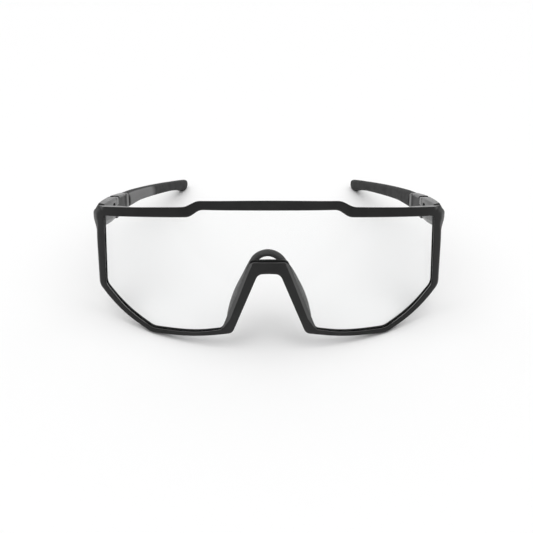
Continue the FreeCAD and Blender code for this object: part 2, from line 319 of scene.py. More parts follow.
# Floor and light. The world is darker towards the camera's side.
FLOOR_REACH = 6.0
FLOOR_DROP = 0.0001
FLOOR_GREY = 0.9
FLOOR_ROUGHNESS = 0.7
SUN_STRENGTH = 2.6
SUN_SPREAD = 100.0
SUN_LEAN = 20.0
WORLD_FADE = (0.0, 0.7)
WORLD_STRENGTH = (0.12, 0.9)

# Camera, in metres and degrees
CAMERA_SENSOR = 36.0
CAMERA_LENS = 52.07
CAMERA_SHIFT = -0.0048
CAMERA_CLIP = (0.01, 50.0)
CAMERA_PLACE = (0.0, -0.33987, 0.17131)
CAMERA_TILT = 27.9

# ---------------------------------------------------------------- placing and mesh making

right_hinge = next(j for j in frame["joints"] if j["name"] == "right_temple_fold")
lean = math.atan2(right_hinge["axis"][1], right_hinge["axis"][2])
stand_turn = Matrix.Rotation(-lean, 3, "X")
stand_shift = Vector(right_hinge["pos_m"]) - stand_turn @ (Vector(HINGE) * MM)


def place(point, mirrored=False):
    """An upright point in millimetres, in the shared frame in metres, not below the table."""
    x, y, z = point
    spot = stand_turn @ (Vector((-x if mirrored else x, y, z)) * MM) + stand_shift
    spot.z = max(spot.z, 0.0)
    return spot


def mesh_object(name, points, faces, mirrored=False):
    """A mesh object from upright points, with its normals outwards."""
    mesh = bpy.data.meshes.new(name)
    mesh.from_pydata([place(p, mirrored) for p in points], [], faces)
    shape = bmesh.new()
    shape.from_mesh(mesh)
    bmesh.ops.remove_doubles(shape, verts=shape.verts, dist=WELD_METRES)
    bmesh.ops.recalc_face_normals(shape, faces=shape.faces)
    shape.to_mesh(mesh)
    shape.free()
    made = bpy.data.objects.new(name, mesh)
    bpy.context.scene.collection.objects.link(made)
    return made


def ring_faces(rings, around, closed_run=False):
    """Quads between successive rings of points, numbered ring after ring."""
    faces = []
    last = rings if closed_run else rings - 1
    for r in range(last):
        here = r * around
        there = ((r + 1) % rings) * around
        for k in range(around):
            after = (k + 1) % around
            faces.append((here + k, here + after, there + after, there + k))
    return faces


def apply_modifiers(made):
    """Replace an object's mesh with what its modifiers make of it."""
    graph = bpy.context.evaluated_depsgraph_get()
    done = bpy.data.meshes.new_from_object(made.evaluated_get(graph))
    made.modifiers.clear()
    old = made.data
    made.data = done
    bpy.data.meshes.remove(old)


def add_bevel(made, width, segments, angle):
    """A modifier that rounds an object's edges that are sharper than an angle."""
    bevel = made.modifiers.new("edges", "BEVEL")
    bevel.width = width * MM
    bevel.segments = segments
    bevel.limit_method = "ANGLE"
    bevel.angle_limit = math.radians(angle)


def bevelled(made, width):
    """Round an object's edges in its mesh."""
    add_bevel(made, width, BEVEL_SEGMENTS, BEVEL_ANGLE)
    apply_modifiers(made)
    return made


def combined(made, others, operation):
    """Join the others to an object, or cut them out of it."""
    for other in others:
        cut = made.modifiers.new("combine", "BOOLEAN")
        cut.operation = operation
        cut.solver = "EXACT"
        cut.object = other
        apply_modifiers(made)
        bpy.data.objects.remove(other)
    return made


def soft_shaded(made, angle=SHARP_ANGLE):
    """Smooth shading with flat faces kept flat."""
    made.data.shade_smooth()
    made.data.set_sharp_from_angle(angle=math.radians(angle))
    weigh = made.modifiers.new("normals", "WEIGHTED_NORMAL")
    weigh.keep_sharp = True
    weigh.weight = NORMAL_WEIGHT
    return made


def finished(made, material, slot, body, *nodes):
    """Give a piece its material and its body, and hide the CAD nodes that it stands for."""
    made.data.materials.clear()
    made.data.materials.append(material)
    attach(made, body)
    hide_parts(*nodes)
    return made


def painted(made, material, wanted):
    """Give a material to the faces that a test on their upright centre and normal picks."""
    made.data.materials.append(material)
    upright = stand_turn.transposed()
    for face in made.data.polygons:
        centre = upright @ (face.center - stand_shift) / MM
        if wanted(centre, upright @ face.normal):
            face.material_index = len(made.data.materials) - 1
    return made


# ---------------------------------------------------------------- outlines


def full_points(half):
    """The corners of a half outline and of its mirror image, all the way round."""
    points = [Vector((x, z)) for x, z, _ in half]
    return points + [Vector((-p.x, p.y)) for p in reversed(points) if p.x > 0.0]


def moved_outline(half, distance):
    """A half outline with every side moved outwards by a distance."""
    points = full_points(half)
    moved = []
    for i, (_, _, rounding) in enumerate(half):
        before, here, after = points[i - 1], points[i], points[(i + 1) % len(points)]
        first = math.atan2(here.y - before.y, here.x - before.x)
        second = math.atan2(after.y - here.y, after.x - here.x)
        middle = (first + second) / 2.0
        if abs(second - first) > math.pi:
            middle += math.pi
        reach = distance / math.cos(middle - first)
        x = here.x - reach * math.sin(middle)
        z = here.y + reach * math.cos(middle)
        moved.append((x, z, rounding))
    return moved


def corner_bends(half):
    """Start, corner and end of the curve that rounds each corner of a half outline."""
    points = full_points(half)
    bends = []
    for i, (_, _, rounding) in enumerate(half):
        ends = []
        for other in (points[i - 1], points[(i + 1) % len(points)]):
            run = (other - points[i]).length
            ends.append(points[i].lerp(other, min(rounding / run, MOST_ROUNDING)))
        bends.append((ends[0], points[i], ends[1]))
    return bends


def bend_points(bend, count, begin=0.0, end=1.0):
    """Points along a rounded corner, both ends included."""
    made = []
    for k in range(count + 1):
        t = begin + (end - begin) * k / count
        made.append(bend[0] * (1 - t) ** 2 + bend[1] * (2 * t * (1 - t)) + bend[2] * t ** 2)
    return made


def half_run(half):
    """The rounded half outline as one list of points from the top middle to the bottom middle."""
    bends = corner_bends(half)
    run = bend_points(bends[0], CORNER_STEPS, 0.5, 1.0)
    for bend in bends[1:-1]:
        run += bend_points(bend, CORNER_STEPS)
    return run + bend_points(bends[-1], CORNER_STEPS, 0.0, 0.5)


def depth_y(x, depth):
    """How far back the wrapped sheet is at a depth."""
    return WRAP_RADIUS - math.sqrt((WRAP_RADIUS - depth) ** 2 - x ** 2)


# ---------------------------------------------------------------- front frame


def side_points(start, end):
    """The points between two corners, neither end included."""
    return [start.lerp(end, k / SIDE_STEPS) for k in range(1, SIDE_STEPS)]


def rim_stations():
    """Pairs of facing points, on the rim's outer edge and on the opening, down the right half."""
    rim = corner_bends(RIM_OUTLINE)
    opening = corner_bends(OPENING_OUTLINE)
    outer = []
    inner = []
    last = len(OPENING_OUTLINE) - 1
    for corner, (first, final) in enumerate(FACING_CORNERS):
        begin = 0.5 if corner == 0 else 0.0
        end = 0.5 if corner == last else 1.0
        run = bend_points(rim[first], CORNER_STEPS, begin, end)
        for k in range(first + 1, final + 1):
            run += side_points(rim[k - 1][2], rim[k][0])
            run += bend_points(rim[k], CORNER_STEPS)
        outer += run
        inner += bend_points(opening[corner], len(run) - 1, begin, end)
        if corner < last:
            outer += side_points(rim[final][2], rim[final + 1][0])
            inner += side_points(opening[corner][2], opening[corner + 1][0])
    return list(zip(outer, inner))


def ease(value, low, high):
    """0 below low, 1 above high, and smooth between them."""
    t = min(max((value - low) / (high - low), 0.0), 1.0)
    return t * t * (3.0 - 2.0 * t)


def mixed(start, end, share):
    """A pair of numbers between two others."""
    return [a + (b - a) * share for a, b in zip(start, end)]


def opening_bevel(spot):
    """Width and depth of the bevel on the opening's front edge: wide down the nose legs."""
    share = 0.0
    if abs(spot.x) < LEG_REACH:
        share = ease(spot.y, *LEG_FOOT) * (1.0 - ease(spot.y, *LEG_TOP))
    return mixed((EDGE_ROUNDING, EDGE_ROUNDING), LEG_BEVEL, share), share


def outer_bevel(spot):
    """Width and depth of the bevel on the outer front edge: wide at the ends of the front."""
    along_side = ease(abs(spot.x), *SIDE_START)
    bevel = mixed(SIDE_BEVEL, END_BEVEL, ease(spot.y, *END_START))
    return mixed((EDGE_ROUNDING, EDGE_ROUNDING), bevel, along_side), along_side


def edge_run(bevel, straight):
    """A front edge from its side to its front face, from round to straight."""
    wide, deep = bevel
    run = []
    for k in range(EDGE_STEPS + 1):
        part = k / EDGE_STEPS
        turn = math.radians(90.0) * part
        curve = (wide * (1.0 - math.cos(turn)), deep * (1.0 - math.sin(turn)))
        run.append(mixed(curve, (wide * part, deep * (1.0 - part)), straight))
    return run


def lip_drop(spot):
    """How much lower than the rear lip the front one stands, below the lens."""
    height = ease(spot.y, *BRIDGE_FOOT) * (1.0 - ease(spot.y, *BRIDGE_TOP))
    bridge = height * (1.0 - ease(abs(spot.x), *BRIDGE_SIDE))
    bottom = (1.0 - ease(spot.y, *LOW_TOP)) * ease(abs(spot.x), *LOW_SIDE)
    return BRIDGE_LIP_DROP * bridge + LOW_LIP_DROP * bottom


def brow_slope(spot):
    """How steeply the top of the brow falls towards its back."""
    return BROW_SLOPE * ease(spot.y, *BROW_FOOT) * (1.0 - ease(abs(spot.x), *BROW_SIDE))


def rim_profile(outer, inner):
    """The rim's section as (distance from the outer edge, depth), round from the front."""
    width = (inner - outer).length
    (out_wide, out_deep), out_share = outer_bevel(outer)
    (in_wide, in_deep), in_share = opening_bevel(inner)
    out_wide = min(out_wide, width * OUTER_SHARE)
    in_wide = min(in_wide, width * INNER_SHARE)
    front_end = width - lip_drop(inner)
    slope = brow_slope(outer)
    profile = edge_run((out_wide, out_deep), out_share)
    flat = front_end - in_wide - out_wide
    profile += [(out_wide + flat * k / FACE_STEPS, 0.0) for k in range(1, FACE_STEPS)]
    inner_edge = edge_run((in_wide, in_deep), in_share)
    profile += [(front_end - along, deep) for along, deep in reversed(inner_edge)]
    bottom = width - GROOVE_BITE
    profile += [
        (front_end, GROOVE_FRONT - GROOVE_LIP),
        (front_end - GROOVE_LIP, GROOVE_FRONT),
        (bottom, GROOVE_FRONT),
        (bottom, GROOVE_BACK),
        (width - GROOVE_LIP, GROOVE_BACK),
        (width, GROOVE_BACK + GROOVE_LIP),
    ]
    edge = min(EDGE_ROUNDING, width * BACK_SHARE)
    back = RIM_DEPTH - edge
    back_flat = width - 2 * edge
    quarter = [math.radians(90.0 * k / BACK_EDGE_STEPS) for k in range(BACK_EDGE_STEPS + 1)]
    profile += [(width - edge + edge * math.cos(a), back + edge * math.sin(a)) for a in quarter]
    back_face = [width - edge - back_flat * k / FACE_STEPS for k in range(1, FACE_STEPS)]
    profile += [(along, RIM_DEPTH) for along in back_face]
    profile += [(edge - edge * math.cos(a), back + edge * math.sin(a)) for a in reversed(quarter)]
    profile += [(0.0, back - (back - out_deep) * k / WALL_STEPS) for k in range(1, WALL_STEPS)]
    return [(max(along, slope * (depth - out_deep)), depth) for along, depth in profile]


def rim_mesh(name):
    """The rim, swept all round the opening."""
    right = rim_stations()
    left = [(Vector((-o.x, o.y)), Vector((-i.x, i.y))) for o, i in reversed(right[1:-1])]
    stations = right + left
    points = []
    around = 0
    for outer, inner in stations:
        width = (inner - outer).length
        profile = rim_profile(outer, inner)
        around = len(profile)
        for along, depth in profile:
            spot = outer.lerp(inner, along / width)
            points.append((spot.x, depth_y(spot.x, depth), spot.y))
    return mesh_object(name, points, ring_faces(len(stations), around, closed_run=True))


# ---------------------------------------------------------------- sections, discs and boxes


def chamfer_at(pair, y):
    """A chamfer that changes evenly from the end of the front to the arm's seam."""
    front = ARM_SECTIONS[0][0]
    return pair[0] + (pair[1] - pair[0]) * (y - front) / (ARM_SECTIONS[-1][0] - front)


def section_at(sections, y):
    """A section between the listed ones, on a smooth curve through them."""
    where = max(k for k in range(len(sections) - 1) if y >= sections[k][0] or k == 0)
    rows = [np.array(sections[min(max(where + k, 0), len(sections) - 1)]) for k in (-1, 0, 1, 2)]
    t = (y - rows[1][0]) / (rows[2][0] - rows[1][0])
    before = (rows[2] - rows[0]) / max(rows[2][0] - rows[0][0], 1e-6)
    after = (rows[3] - rows[1]) / max(rows[3][0] - rows[1][0], 1e-6)
    span = rows[2][0] - rows[1][0]
    made = (
        rows[1] * (2 * t ** 3 - 3 * t ** 2 + 1)
        + before * span * (t ** 3 - 2 * t ** 2 + t)
        + rows[2] * (3 * t ** 2 - 2 * t ** 3)
        + after * span * (t ** 3 - t ** 2)
    )
    return [y] + [float(v) for v in made[1:]]


def arm_ring(section):
    """The eight corners of the arm's section, flat inside and chamfered outside, as (x, z)."""
    y, outer, thickness, top, bottom = section
    inner = outer - thickness
    high = chamfer_at(TOP_CHAMFER, y)
    low_out = chamfer_at(OUTER_LOW_CHAMFER, y)
    low_in = chamfer_at(INNER_LOW_CHAMFER, y)
    return [
        (inner, top - INNER_TOP_CHAMFER),
        (inner + INNER_TOP_CHAMFER, top),
        (outer - high, top),
        (outer, top - OUTER_SLOPE * high),
        (outer, bottom + OUTER_SLOPE * low_out),
        (outer - low_out, bottom),
        (inner + low_in, bottom),
        (inner, bottom + INNER_SLOPE * low_in),
    ]


def turns(count):
    """Equal turns once round."""
    return [2.0 * math.pi * k / count for k in range(count)]


def squared(turn, power):
    """A point of a circle, pulled outwards to make the circle squarer."""
    return [math.copysign(abs(f(turn)) ** power, f(turn)) for f in (math.cos, math.sin)]


def capped_tube(name, rings, mirrored=False):
    """A closed tube through rings of upright points, flat at both ends."""
    around = len(rings[0])
    points = [p for ring in rings for p in ring]
    faces = ring_faces(len(rings), around)
    faces.append(tuple(range(around)))
    faces.append(tuple(reversed(range(len(points) - around, len(points)))))
    return mesh_object(name, points, faces, mirrored)


def hinge_point(size, turn, z):
    """A point round the hinge axis."""
    return (HINGE[0] + size * math.cos(turn), HINGE[1] + size * math.sin(turn), z)


def disc(name, radius, low, high, mirrored, chamfer=0.0):
    """An upright cylinder on the hinge axis, with chamfered edges if wanted."""
    levels = [(low, radius - chamfer), (high, radius - chamfer)]
    if chamfer:
        levels[1:1] = [(low + chamfer, radius), (high - chamfer, radius)]
    rings = [[hinge_point(size, turn, z) for turn in turns(DISC_SIDES)] for z, size in levels]
    return capped_tube(name, rings, mirrored)


def box_object(name, x_range, y_range, z_range, mirrored):
    """A box between two corners."""
    (x0, x1), (y0, y1), (z0, z1) = x_range, y_range, z_range
    rings = [[(x0, y0, z), (x1, y0, z), (x1, y1, z), (x0, y1, z)] for z in (z0, z1)]
    return capped_tube(name, rings, mirrored)


# ---------------------------------------------------------------- end pieces and front


def hinge_ear(low, high, mirrored):
    """A hinge ear: round behind the axis, and straight-sided to its root in the end piece."""
    small = EAR_RADIUS - EAR_CHAMFER
    levels = [
        (low, small),
        (low + EAR_CHAMFER, EAR_RADIUS),
        (high - EAR_CHAMFER, EAR_RADIUS),
        (high, small),
    ]
    rings = []
    for z, size in levels:
        ring = [hinge_point(size, math.pi * k / EAR_SIDES, z) for k in range(EAR_SIDES + 1)]
        ring.append((ring[-1][0], STOP_PLANE - EAR_ROOT, z))
        ring.append((ring[0][0], STOP_PLANE - EAR_ROOT, z))
        rings.append(ring)
    return capped_tube("ear", rings, mirrored)


def end_block(mirrored):
    """The end piece behind the corner of the rim, as far as the arm's stop."""
    first = arm_ring(ARM_SECTIONS[0])
    rings = [[(x, depth_y(x, RIM_DEPTH - BLOCK_OVERLAP), z) for x, z in first]]
    for y in BLOCK_PLACES:
        rings.append([(x, y, z) for x, z in arm_ring(section_at(ARM_SECTIONS, y))])
    return bevelled(capped_tube("end_block", rings, mirrored), BLOCK_BEVEL)


def front_frame():
    """The rim with an end piece, hinge ears and bores at each end."""
    made = rim_mesh("front_shell")
    for mirrored in (False, True):
        block = end_block(mirrored)
        room = disc("room", EAR_RADIUS + KNUCKLE_ROOM, LOWER_EAR[1], UPPER_EAR[0], mirrored)
        combined(block, [room, pin_hole(mirrored)], "DIFFERENCE")
        combined(block, [hinge_ear(*ear, mirrored) for ear in (LOWER_EAR, UPPER_EAR)], "UNION")
        head_heights = (UPPER_EAR[1] - SCREW_HEAD_DEPTH, UPPER_EAR[1] + HEAD_PAST)
        insert_heights = (LOWER_EAR[0] - INSERT_PAST[0], LOWER_EAR[1] + INSERT_PAST[1])
        head = disc("head", SCREW_HEAD_RADIUS, *head_heights, mirrored)
        insert = disc("insert", INSERT_RADIUS, *insert_heights, mirrored)
        combined(block, [head, insert], "DIFFERENCE")
        combined(made, [block], "UNION")
    return made


# ---------------------------------------------------------------- lens


def chain(points):
    """A run of outline points as arrays for looking up z at x, with x rising."""
    points = sorted(points, key=lambda p: p.x)
    return [p.x for p in points], [p.y for p in points]


def shield_lens(name):
    """The lens as a fine wrapped sheet with two faces and an edge."""
    run = half_run(moved_outline(OPENING_OUTLINE, LENS_BITE))
    far = max(range(len(run)), key=lambda k: run[k].x)
    top = chain(run[:far + 1])
    bottom = chain(run[far:])
    width = run[far].x - LENS_EDGE
    even = [width * math.sin(math.pi / 2.0 * k / LENS_COLUMNS) for k in range(LENS_COLUMNS + 1)]
    xs = sorted(set(even + [p.x for p in run if p.x < width]))
    xs = [-x for x in reversed(xs[1:])] + xs
    rows = LENS_ROWS
    points = []
    for depth in (GROOVE_FRONT + LENS_ROOM, GROOVE_BACK - LENS_ROOM):
        for x in xs:
            high = float(np.interp(abs(x), *top))
            low = float(np.interp(abs(x), *bottom))
            for k in range(rows + 1):
                z = low + (high - low) * k / rows
                points.append((x, depth_y(x, depth), z))
    faces = []
    per_side = len(xs) * (rows + 1)
    for side in (0, per_side):
        for c in range(len(xs) - 1):
            for r in range(rows):
                a = side + c * (rows + 1) + r
                faces.append((a, a + 1, a + rows + 2, a + rows + 1))
    border = [c * (rows + 1) for c in range(len(xs))]
    border += [(len(xs) - 1) * (rows + 1) + r for r in range(1, rows + 1)]
    border += [c * (rows + 1) + rows for c in reversed(range(len(xs) - 1))]
    border += list(reversed(range(1, rows)))
    for a, b in zip(border, border[1:] + border[:1]):
        faces.append((a, b, b + per_side, a + per_side))
    return mesh_object(name, points, faces)


# ---------------------------------------------------------------- temples


def temple_arm(name, mirrored):
    """The hard arm: cheek, knuckle and recess, necked where it enters the sleeve."""
    seam = ARM_SECTIONS[-1][0]
    neck_start = seam - SEAM_NECK
    rings = []
    for y in (*ARM_PLACES, neck_start):
        rings.append([(x, y, z) for x, z in arm_ring(section_at(ARM_SECTIONS, y))])
    for y in (neck_start + SEAM_SHOULDER, seam + SEAM_PAST):
        _, outer, thickness, top, bottom = section_at(ARM_SECTIONS, min(y, seam))
        sides = (outer - SEAM_STEP, thickness - 2 * SEAM_STEP)
        inset = (y, *sides, top - SEAM_STEP, bottom + SEAM_STEP)
        rings.append([(x, y, z) for x, z in arm_ring(inset)])
    arm = bevelled(capped_tube(name, rings, mirrored), ARM_BEVEL)
    room_x = HINGE[0] + EAR_RADIUS + HINGE_ROOM
    room_y = HINGE[1] + EAR_RADIUS + HINGE_ROOM
    room = box_object("room", (ROOM_INNER, room_x), (ROOM_FRONT, room_y), ROOM_HEIGHTS, mirrored)
    combined(arm, [room, pocket(mirrored)], "DIFFERENCE")
    knuckle = disc("knuckle", EAR_RADIUS, *KNUCKLE, mirrored, KNUCKLE_CHAMFER)
    neck_x = (HINGE[0] - EAR_RADIUS + NECK_INSET, room_x + NECK_ROOT)
    neck_y = (HINGE[1], HINGE[1] + NECK_LENGTH)
    neck_z = (KNUCKLE[0] + NECK_TRIM, KNUCKLE[1] - NECK_TRIM)
    neck = box_object("neck", neck_x, neck_y, neck_z, mirrored)
    combined(arm, [knuckle, neck], "UNION")
    bore = disc("bore", BUSH_RADIUS, KNUCKLE[0] - BORE_PAST, KNUCKLE[1] + BORE_PAST, mirrored)
    return combined(arm, [bore], "DIFFERENCE")


def inner_face(y):
    """How far out the arm's flat inner face is at a place along it."""
    section = section_at(ARM_SECTIONS, y)
    return section[1] - section[2]


def pocket(mirrored):
    """The recess in the arm's inner face, with drafted walls and rounded corners."""
    outline = [Vector(p) for p in POCKET_OUTLINE]
    bends = []
    for i, point in enumerate(outline):
        ends = []
        for other in (outline[i - 1], outline[(i + 1) % len(outline)]):
            ends.append(point.lerp(other, POCKET_CORNER / (other - point).length))
        bends.append((ends[0], point, ends[1]))
    rim = [p for bend in bends for p in bend_points(bend, POCKET_CORNER_STEPS)]
    middle = sum(rim, Vector((0.0, 0.0))) / len(rim)
    rings = []
    for depth, inset in POCKET_WALL:
        ring = []
        for p in rim:
            inward = (middle - p).normalized() * inset
            y, z = p + inward
            ramp = POCKET_RAMP * max(depth, 0.0) * ease(y, middle.x, POCKET_OUTLINE[2][0])
            ring.append((inner_face(y - ramp) + depth, y - ramp, z))
        rings.append(ring)
    return capped_tube("pocket", rings, mirrored)


def pin_hole(mirrored):
    """The small oval blind hole in the end piece's inner face, with a countersunk mouth."""
    rings = []
    for depth, radius in PIN_WALL:
        x = inner_face(PIN_Y) + depth
        ring = []
        for turn in turns(PIN_SIDES):
            y = PIN_Y + (radius + PIN_STRETCH) * math.cos(turn)
            ring.append((x, y, PIN_Z + radius * math.sin(turn)))
        rings.append(ring)
    return capped_tube("pin", rings, mirrored)


def sleeve_ring(y, scale=1.0):
    """The sleeve's section at a place along it, at full size or smaller."""
    section = SLEEVE_SECTIONS[-1]
    if y < section[0]:
        section = section_at(SLEEVE_SECTIONS, y)
    _, outer, thickness, top, bottom = section
    ring = []
    for turn in turns(SLEEVE_SIDES):
        across, up = squared(turn, SLEEVE_POWER)
        ring.append((
            outer - thickness / 2.0 + thickness / 2.0 * scale * across,
            y,
            (top + bottom) / 2.0 + (top - bottom) / 2.0 * scale * up,
        ))
    return ring


def temple_sleeve(name, mirrored):
    """The rubber sleeve, from its lip at the seam to its rounded tip."""
    start = SLEEVE_SECTIONS[0][0] + SLEEVE_GAP
    end = SLEEVE_SECTIONS[-1][0]
    lip = SLEEVE_LIP[-1][0]
    rings = [sleeve_ring(start + back, scale) for back, scale in SLEEVE_LIP]
    for k in range(1, SLEEVE_STEPS):
        rings.append(sleeve_ring(start + lip + (end - start - lip) * k / SLEEVE_STEPS))
    rings.append(sleeve_ring(end))
    rings.append(sleeve_ring(end, SLEEVE_TIP_SCALE))
    return capped_tube(name, rings, mirrored)


# ---------------------------------------------------------------- nose piece


def nose_path():
    """The nose piece's centre line and half sizes, from the left wing to the right one."""
    right = [np.array(row) for row in NOSE_SECTIONS]
    left = [row * np.array([-1, 1, 1, 1, 1]) for row in right[:-1]]
    rows = left + right[::-1]
    path = []
    for i in range(len(rows) - 1):
        before = rows[max(i - 1, 0)]
        after = rows[min(i + 2, len(rows) - 1)]
        here, there = rows[i], rows[i + 1]
        for k in range(NOSE_STEPS):
            t = k / NOSE_STEPS
            path.append(0.5 * (
                2 * here + (there - before) * t
                + (2 * before - 5 * here + 4 * there - after) * t ** 2
                + (3 * here - before - 3 * there + after) * t ** 3))
    path.append(rows[-1])
    for row in path:
        row[0] -= ARCH_SHIFT * ease(row[1], *ARCH_RISE)
    return path


def nose_pad(name):
    """The rubber nose piece, closed round its wing ends and flat against the rim's back."""
    path = nose_path()
    rings = []
    last = len(path) - 1
    for i, row in enumerate(path):
        before = path[max(i - 1, 0)]
        after = path[min(i + 1, last)]
        run = Vector((after[0] - before[0], 0.0, after[1] - before[1])).normalized()
        across = run.cross(Vector((0.0, 1.0, 0.0)))
        scales = [1.0]
        if i == 0:
            scales = WING_END_SCALES
        elif i == last:
            scales = WING_END_SCALES[::-1]
        for scale in scales:
            slip = math.sqrt(1.0 - scale ** 2) * WING_END_REACH
            centre = Vector((row[0], row[2], row[1])) + run * (slip if i == last else -slip)
            ring = []
            for turn in turns(NOSE_SIDES):
                sideways, back = squared(turn, NOSE_POWER)
                spot = centre + across * (row[3] * scale * sideways)
                y = spot.y + row[4] * scale * back
                ring.append((spot.x, max(y, depth_y(spot.x, RIM_DEPTH + NOSE_ROOM)), spot.z))
            rings.append(ring)
    return capped_tube(name, rings)


# ---------------------------------------------------------------- materials


def nodes_of(material):
    """A material's nodes, its links and its shader."""
    material.use_nodes = True
    tree = material.node_tree
    return tree.nodes, tree.links, tree.nodes["Principled BSDF"]


def coordinates(nodes, kind="Object"):
    """The object's own coordinates or normal, or the world's direction."""
    return nodes.new("ShaderNodeTexCoord").outputs[kind]


def split(nodes, links, vector):
    """The X, Y and Z of a vector."""
    made = nodes.new("ShaderNodeSeparateXYZ")
    links.new(vector, made.inputs[0])
    return made.outputs


def noise(nodes, links, vector, scale, detail=3.0):
    """Noise, with its scale and the number of finer layers in it."""
    made = nodes.new("ShaderNodeTexNoise")
    made.inputs["Scale"].default_value = scale
    made.inputs["Detail"].default_value = detail
    links.new(vector, made.inputs["Vector"])
    return made.outputs["Fac"]


def arithmetic(nodes, links, operation, *terms):
    """The result of an operation on sockets and numbers."""
    made = nodes.new("ShaderNodeMath")
    made.operation = operation
    for k, term in enumerate(terms):
        if isinstance(term, float):
            made.inputs[k].default_value = term
        else:
            links.new(term, made.inputs[k])
    return made.outputs["Value"]


def remap(nodes, links, value, low, high, start=NOISE_RANGE[0], end=NOISE_RANGE[1]):
    """A value's range from start to end made into one from low to high."""
    made = nodes.new("ShaderNodeMapRange")
    for name, number in (("From Min", start), ("From Max", end), ("To Min", low), ("To Max", high)):
        made.inputs[name].default_value = number
    links.new(value, made.inputs["Value"])
    return made.outputs["Result"]


def textured(name, dark, light, rough, grain, bump, metallic=0.0, specular=0.5):
    """A material with cloudy colour, uneven roughness and a fine grain, sized in millimetres."""
    material = bpy.data.materials.new(name)
    nodes, links, shader = nodes_of(material)
    spot = coordinates(nodes)
    clouds = noise(nodes, links, spot, CLOUD_SCALE)
    colour = nodes.new("ShaderNodeMix")
    colour.data_type = "RGBA"
    colour.inputs["A"].default_value = (*dark, 1.0)
    colour.inputs["B"].default_value = (*light, 1.0)
    links.new(remap(nodes, links, clouds, 0.0, 1.0), colour.inputs["Factor"])
    links.new(colour.outputs["Result"], shader.inputs["Base Color"])
    fine = noise(nodes, links, spot, GRAIN_SCALE / grain, detail=2.0)
    patches = noise(nodes, links, spot, PATCH_SCALE, detail=4.0)
    links.new(remap(nodes, links, patches, *rough), shader.inputs["Roughness"])
    relief = nodes.new("ShaderNodeBump")
    relief.inputs["Strength"].default_value = bump
    relief.inputs["Distance"].default_value = grain * GRAIN_RELIEF * MM
    links.new(fine, relief.inputs["Height"])
    links.new(relief.outputs["Normal"], shader.inputs["Normal"])
    shader.inputs["Metallic"].default_value = metallic
    shader.inputs["Specular IOR Level"].default_value = specular
    return material


def blend_to_grey(material, share, grey):
    """Mix a material's colour with a grey, by a share from its own nodes."""
    nodes, links, shader = nodes_of(material)
    colour = nodes.new("ShaderNodeMix")
    colour.data_type = "RGBA"
    links.new(share, colour.inputs["Factor"])
    links.new(shader.inputs["Base Color"].links[0].from_socket, colour.inputs["A"])
    colour.inputs["B"].default_value = (grey, grey, grey, 1.0)
    links.new(colour.outputs["Result"], shader.inputs["Base Color"])


def fade_gloss(material, gloss_in_middle, gloss_at_side):
    """Make a material less glossy from the middle of the front to its ends."""
    nodes, links, shader = nodes_of(material)
    spot = split(nodes, links, coordinates(nodes))
    across = arithmetic(nodes, links, "ABSOLUTE", spot["X"])
    gloss = remap(nodes, links, across, gloss_in_middle, gloss_at_side, *GLOSS_FADE)
    links.new(gloss, shader.inputs["Specular IOR Level"])


def paint_highlight_below(material, grey, dark_height, light_height):
    """Blend a material to a lighter grey from one height down to another, as a painted highlight.
    """
    nodes, links, _ = nodes_of(material)
    spot = split(nodes, links, coordinates(nodes))
    share = remap(nodes, links, spot["Z"], 1.0, 0.0, light_height, dark_height)
    blend_to_grey(material, share, grey)


def add_panel(material):
    """A plain paler panel on the inner face of the left sleeve, next to the seam."""
    nodes, links, _ = nodes_of(material)
    spot = split(nodes, links, coordinates(nodes))
    facing = split(nodes, links, coordinates(nodes, "Normal"))
    share = remap(nodes, links, facing["X"], 0.0, 1.0, *PANEL_FACING)
    for other in (
        remap(nodes, links, spot["X"], 1.0, 0.0, *PANEL_SIDE),
        remap(nodes, links, spot["Y"], 0.0, 1.0, *PANEL_START),
        remap(nodes, links, spot["Y"], 1.0, 0.0, *PANEL_END),
    ):
        share = arithmetic(nodes, links, "MULTIPLY", share, other)
    blend_to_grey(material, share, PANEL_GREY)


def lens_material():
    """Clear polycarbonate: what lies behind shows through, with a weak reflection on top."""
    material = bpy.data.materials.new("clear_polycarbonate")
    nodes, links, shader = nodes_of(material)
    nodes.remove(shader)
    clear = nodes.new("ShaderNodeBsdfTransparent")
    clear.inputs["Color"].default_value = LENS_CLEAR
    gloss = nodes.new("ShaderNodeBsdfGlossy")
    patches = noise(nodes, links, coordinates(nodes), LENS_PATCH_SCALE)
    links.new(remap(nodes, links, patches, *LENS_ROUGH), gloss.inputs["Roughness"])
    slant = nodes.new("ShaderNodeLayerWeight")
    steep = arithmetic(nodes, links, "POWER", slant.outputs["Facing"], LENS_SLANT_POWER)
    share = arithmetic(nodes, links, "MULTIPLY_ADD", steep, LENS_SLANT_GLOSS, LENS_GLOSS)
    mix = nodes.new("ShaderNodeMixShader")
    links.new(share, mix.inputs["Fac"])
    links.new(clear.outputs["BSDF"], mix.inputs[1])
    links.new(gloss.outputs["BSDF"], mix.inputs[2])
    links.new(mix.outputs["Shader"], nodes["Material Output"].inputs["Surface"])
    return material


BLACK = ((0.008,) * 3, (0.012,) * 3)
DARK = ((0.012,) * 3, (0.018,) * 3)
# Painted highlight: a paler grey for the leg bevels beside the nose, where they catch the light
LEG_HIGHLIGHT_PAINT = ((0.07,) * 3, (0.085,) * 3)
# Painted highlight: a paler grey for the tops near the front's ends and the insides of the end
# pieces, where light falls
END_HIGHLIGHT_PAINT = ((0.05,) * 3, (0.06,) * 3)
RUBBER = ((0.020,) * 3, (0.028,) * 3)
NOSE_RUBBER = ((0.045,) * 3, (0.058,) * 3)
STEEL = ((0.42, 0.42, 0.43), (0.52, 0.52, 0.53))
BRASS = ((0.62, 0.46, 0.22), (0.72, 0.55, 0.28))
WIRE = ((0.55, 0.55, 0.56), (0.65, 0.65, 0.66))
SATIN = (0.3, 0.38)
SMOOTH = (0.27, 0.35)

